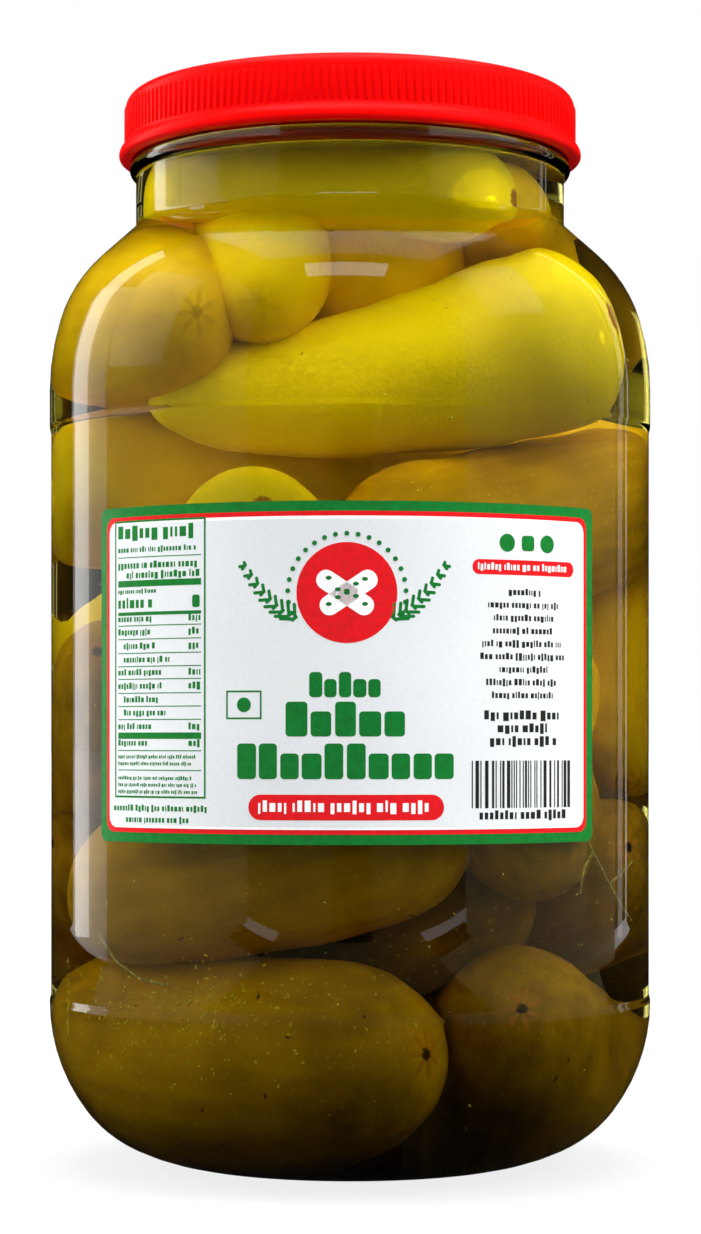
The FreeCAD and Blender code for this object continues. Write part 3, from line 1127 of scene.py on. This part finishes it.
def makePickle(one, number, lumps):
    dice = random.Random(100 + number)
    length = one.core + one.radii[0] + one.radii[1]
    body = makePickleBody(one.name, length, one.radii[0] + one.radii[1], dice)
    vertices = body.data.vertices
    # The per-pickle tint stored here carries painted shade: darker for the low pickles, brighter for the high
    # ones.
    for name, kind, values in (
            ("restPlace", "vector", [v.co[axis] / mm for v in vertices for axis in range(3)]),
            ("fromTips", "vector", [value for v in vertices for value in
                                    (length / 2 - v.co.z / mm, length / 2 + v.co.z / mm, number)]),
            ("pickleTint", "value", [one.yellow] * len(vertices))):
        form = "FLOAT_VECTOR" if kind == "vector" else "FLOAT"
        body.data.attributes.new(name, form, "POINT").data.foreach_set(kind, values)
    taper = body.modifiers.new("taper", "SIMPLE_DEFORM")
    taper.deform_method = "TAPER"
    taper.deform_axis = "Z"
    taper.factor = 2 * (one.radii[1] - one.radii[0]) / (one.radii[0] + one.radii[1])
    bend = body.modifiers.new("bow", "SIMPLE_DEFORM")
    bend.deform_method = "BEND"
    bend.deform_axis = "X"
    bend.angle = math.radians(one.bow * 2)
    applyModifiers(body)
    way = Vector(one.ends[1] - one.ends[0])
    shift = (one.radii[1] - one.radii[0]) / 2   # the thick end's cap is longer
    middle = Vector(one.spot(0.5)) + way.normalized() * shift
    body.location = middle * mm
    body.rotation_euler = way.to_track_quat("Z", "Y").to_euler()
    bpy.context.view_layer.update()
    for texture, strength in lumps:
        wart = body.modifiers.new("lumps", "DISPLACE")
        wart.texture = texture
        wart.texture_coords = "GLOBAL"
        wart.strength = strength * mm
        wart.mid_level = 0.5
    applyModifiers(body)
    return settle(body)


def makeClouds(name, size):
    texture = bpy.data.textures.new(name, "CLOUDS")
    texture.noise_scale = size * mm
    texture.noise_depth = 1
    return texture


def makePickleSkin():
    # Fermented cucumber skin: smooth and a little waxy, yellow-olive, with pale flecks along its length. Its
    # tint also carries painted shade, darker on the pickles low in the jar.
    material, tree = newMaterial("pickleSkin")
    rest = addNode(tree, "ShaderNodeAttribute", {"attribute_name": "restPlace"}).outputs["Vector"]
    tips = addNode(tree, "ShaderNodeAttribute", {"attribute_name": "fromTips"}).outputs["Vector"]
    tint = addNode(tree, "ShaderNodeAttribute", {"attribute_name": "pickleTint"}).outputs["Fac"]
    apart = addNode(tree, "ShaderNodeSeparateXYZ", links={"Vector": tips})
    number = addNode(tree, "ShaderNodeCombineXYZ", links={"Z": apart.outputs["Z"]})
    shifted = addNode(tree, "ShaderNodeVectorMath", {"operation": "MULTIPLY_ADD", 1: (900, 900, 900)},
                      {0: number.outputs[0], 2: rest}).outputs[0]
    streakPlace = addNode(tree, "ShaderNodeMapping", {"Scale": (1, 1, 0.12)}, {"Vector": shifted})
    streak = addNoise(tree, streakPlace.outputs[0], 4.0, 2.0)
    patch = addNoise(tree, shifted, 17.0, 3.0)
    fleck = addNode(tree, "ShaderNodeTexVoronoi", {"Scale": 1 / 2.6}, {"Vector": shifted})
    pore = addNoise(tree, shifted, 0.9, 2.0)
    # Painted shade: the per-pickle tint, darker low in the jar and brighter high up, is mixed with real
    # blotches and streaks.
    ripeness = tint
    for noise, width in ((patch, 0.34), (streak, 0.22)):
        change = addMath(tree, "MULTIPLY_ADD", noise, width, -width / 2)
        ripeness = addMath(tree, "ADD", ripeness, change)
    skin = addRamp(tree, ripeness, [
        (0.0, linear("#4A3204")), (0.25, linear("#8C6602")), (0.5, linear("#D0A200")),
        (0.75, linear("#F4CA00")), (1.0, linear("#FFE600"))])
    spots = addRamp(tree, fleck.outputs["Distance"], [(0.08, 0.22), (0.20, 0.0)])
    skin = addNode(tree, "ShaderNodeMix", {"data_type": "RGBA", 7: linear("#E8DA5A")},
                   {0: spots, 6: skin}).outputs[2]
    # Round stem scar at one tip, starry blossom scar at the other, browner on the pickles whose tint is
    # painted darker
    flat = addNode(tree, "ShaderNodeVectorMath", {"operation": "MULTIPLY", 1: (1, 1, 0)}, {0: rest})
    out = addNode(tree, "ShaderNodeVectorMath", {"operation": "LENGTH"},
                  {0: flat.outputs[0]}).outputs["Value"]
    ragged = addMath(tree, "ADD", out, addMath(tree, "MULTIPLY_ADD", pore, 2.2, -1.1))
    stem = addSpan(tree, ragged, 3.1, 2.2)
    core = addSpan(tree, ragged, 1.7, 1.1)
    split = addNode(tree, "ShaderNodeSeparateXYZ", links={"Vector": rest})
    around = addMath(tree, "ARCTAN2", split.outputs["Y"], split.outputs["X"])
    rays = addMath(tree, "COSINE", addMath(tree, "MULTIPLY", around, 7.0))
    reach = addMath(tree, "SUBTRACT", addMath(tree, "MULTIPLY_ADD", rays, 2.4, 3.2), ragged)
    star = addSpan(tree, reach, -0.6, 1.0)
    atStem = addMath(tree, "LESS_THAN", apart.outputs["X"], 8.0)
    atBlossom = addMath(tree, "LESS_THAN", apart.outputs["Y"], 8.0)
    browned = addSpan(tree, tint, 0.35, 0.8, 1.0, 0.1)
    for mark, limits, hexColour in (
            (stem, (atStem,), "#B47C14"), (star, (atBlossom, browned), "#B87A14"),
            (core, (atBlossom, browned), "#2E2006")):
        for limit in limits:
            mark = addMath(tree, "MULTIPLY", mark, limit)
        skin = addNode(tree, "ShaderNodeMix", {"data_type": "RGBA", 7: linear(hexColour)},
                       {0: mark, 6: skin}).outputs[2]
    flesh = addNode(tree, "ShaderNodeBsdfPrincipled", {
        "Roughness": 0.42, "Specular IOR Level": 0.05},
        {"Base Color": skin, "Normal": addBump(tree, pore, 0.4, 0.25)})
    addOutput(tree, flesh)
    return material


heap = settlePickles()
lumps = [(makeClouds(name, size), height) for name, size, height in filling["lumps"]]
bodies = [makePickle(one, number, lumps) for number, one in enumerate(heap)]
pickleHeap = joinPieces("pickles", bodies)
smooth(pickleHeap)
finishPiece(pickleHeap, makePickleSkin())
print("pickles done")


spices = {                          # mm
    "seed": 21,
    "drift": 300,                   # specks gathered low on the left, by the glass
    "driftMiddle": (-42, 43),       # across and up
    "driftSpread": (22, 7),
    "loose": 170,                   # and specks all over the front
    "speck": (0.16, 0.46),
    "seeds": 16,
    "seedSize": (0.8, 1.5),
    "strandThick": 0.55,
}
strands = (
    ((52, -46, 88), (56, -42, 80), (60, -36, 72), (63, -30, 66), (65, -22, 62)),
    ((60, -36, 72), (63, -31, 74), (66, -24, 77)),
    ((56, -42, 80), (54, -45, 76), (53, -47, 70)),
    ((-58, -38, 60), (-54, -44, 54), (-48, -51, 50), (-41, -57, 49)),
)


def wallRadius(level):
    # how far the glass's inside is from the axis at a height
    side = [(z, x) for x, z in insideOutline(jar["wall"]) if x > 40]
    return float(np.interp(level, [z for z, x in side], [x for z, x in side]))


def addSpeck(place, size, stretch, turn):
    bpy.ops.mesh.primitive_ico_sphere_add(subdivisions=1, radius=size * mm, location=(0, 0, 0))
    bpy.ops.transform.resize(value=(stretch, 1, 0.7), center_override=(0, 0, 0))
    bpy.ops.transform.rotate(value=turn, orient_axis="Y", center_override=(0, 0, 0))
    bpy.ops.transform.translate(value=[v * mm for v in place])


def emptyMesh(name):
    clearSelection()
    bpy.ops.mesh.primitive_plane_add(size=mm, location=(0, 0, 0))
    piece = bpy.context.object
    piece.name = name
    bpy.ops.object.mode_set(mode="EDIT")
    bpy.ops.mesh.delete(type="VERT")
    return piece


def byTheGlass(across, up, inward):
    out = wallRadius(up) - inward
    across = max(-0.93 * out, min(0.93 * out, across))
    return (across, -math.sqrt(out * out - across * across), up)


def makeSpecks():
    # Fine yellow spice dust in the brine.
    dice = random.Random(spices["seed"])
    piece = emptyMesh("spiceSpecks")
    for number in range(spices["drift"]):
        across = dice.gauss(spices["driftMiddle"][0], spices["driftSpread"][0])
        up = max(10, dice.gauss(spices["driftMiddle"][1], spices["driftSpread"][1]))
        size = dice.uniform(*spices["speck"])
        place = byTheGlass(across, up, dice.uniform(0.8, 2.2))
        addSpeck(place, size, dice.uniform(1, 1.8), dice.uniform(0, 3))
    for number in range(spices["loose"]):
        place = byTheGlass(dice.uniform(-66, 66), dice.uniform(14, 215), dice.uniform(0.8, 2.5))
        addSpeck(place, dice.uniform(*spices["speck"]) * 0.8, dice.uniform(1, 1.6), dice.uniform(0, 3))
    bpy.ops.object.mode_set(mode="OBJECT")
    smooth(piece)
    finishPiece(piece, makeSpiceMaterial("spiceDust", "#FFF248", "#E8C818", 0.0006))


def makeSeeds():
    # Mustard and dill seeds lie against the glass near the bottom.
    dice = random.Random(spices["seed"] + 1)
    piece = emptyMesh("seeds")
    for number in range(spices["seeds"]):
        place = byTheGlass(dice.uniform(-55, 60), dice.uniform(14, 70), 2.0)
        addSpeck(place, dice.uniform(*spices["seedSize"]) / 2, 1.7, dice.uniform(0, 3))
    bpy.ops.object.mode_set(mode="OBJECT")
    rounded = piece.modifiers.new("rounded", "SUBSURF")
    rounded.levels = 1
    applyModifiers(piece)
    smooth(piece)
    finishPiece(piece, makeSpiceMaterial("seedCoat", "#8A6418", "#4C330A", 0.0004))


def makeStrand(number, points):
    # A dill stem: a line of points, thickened round and smoothed.
    piece = emptyMesh("dillStrand%d" % number)
    bpy.ops.mesh.primitive_plane_add(size=mm, location=(0, 0, 0))
    bpy.ops.mesh.merge(type="CENTER")
    bpy.ops.transform.translate(value=[v * mm for v in points[0]])
    for before, after in zip(points, points[1:]):
        bpy.ops.mesh.extrude_vertices_move(
            TRANSFORM_OT_translate={"value": [(b - a) * mm for a, b in zip(before, after)]})
    bpy.ops.object.mode_set(mode="OBJECT")
    piece.modifiers.new("stem", "SKIN")
    for step, spot in enumerate(piece.data.skin_vertices[0].data):
        thin = spices["strandThick"] * (1 - 0.55 * step / len(points)) * mm
        spot.radius = (thin, thin)
    rounded = piece.modifiers.new("rounded", "SUBSURF")
    rounded.levels = 2
    return applyModifiers(piece)


def makeSpiceMaterial(name, light, dark, grain):
    # Dry spice steeped in brine: two close tones, broken up by a fine grain.
    material, tree = newMaterial(name)
    place = placeOnPiece(tree)
    noise = addNoise(tree, place, grain, 2.0)
    colour = addRamp(tree, noise, [(0.35, linear(dark)), (0.62, linear(light))])
    rough = addRamp(tree, noise, [(0.3, 0.6), (0.7, 0.45)])
    flesh = addNode(tree, "ShaderNodeBsdfPrincipled", {"Specular IOR Level": 0.25},
                    {"Base Color": colour, "Roughness": rough})
    addOutput(tree, flesh)
    return material


makeSpecks()
makeSeeds()
dill = joinPieces("dillStrands", [makeStrand(number, points) for number, points in enumerate(strands)])
smooth(dill)
finishPiece(dill, makeSpiceMaterial("dillStem", "#C8B450", "#8C7A1E", 0.0012))
print("spices done")
